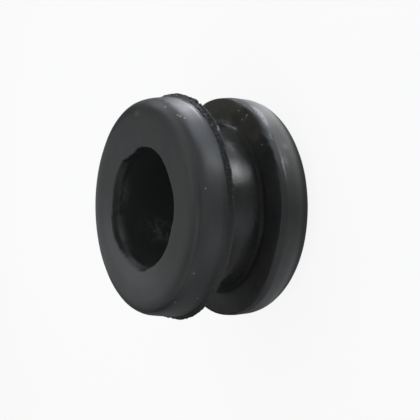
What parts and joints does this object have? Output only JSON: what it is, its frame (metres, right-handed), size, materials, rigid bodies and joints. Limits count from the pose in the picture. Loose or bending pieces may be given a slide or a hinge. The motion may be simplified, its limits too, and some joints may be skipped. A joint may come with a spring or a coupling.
{
  "type": "rubber grommet",
  "caption": "Moulded rubber ring with a through bore and an outer groove between a crowned front flange and a rounder back flange.",
  "frame": {"origin": "centre of the bore in the plane of the foot, the flat end of the back flange that the grommet stands on", "axes": "+Z along the bore towards the front face; X and Y are equivalent, as the grommet is a body of revolution"},
  "size_m": [0.0206, 0.0206, 0.0127],
  "materials": {
    "rubber": "matt moulded black rubber with a faint sheen, fine grain and light dust"
  },
  "bodies": {
    "root": {"grommet": "rubber"}
  },
  "joints": []
}
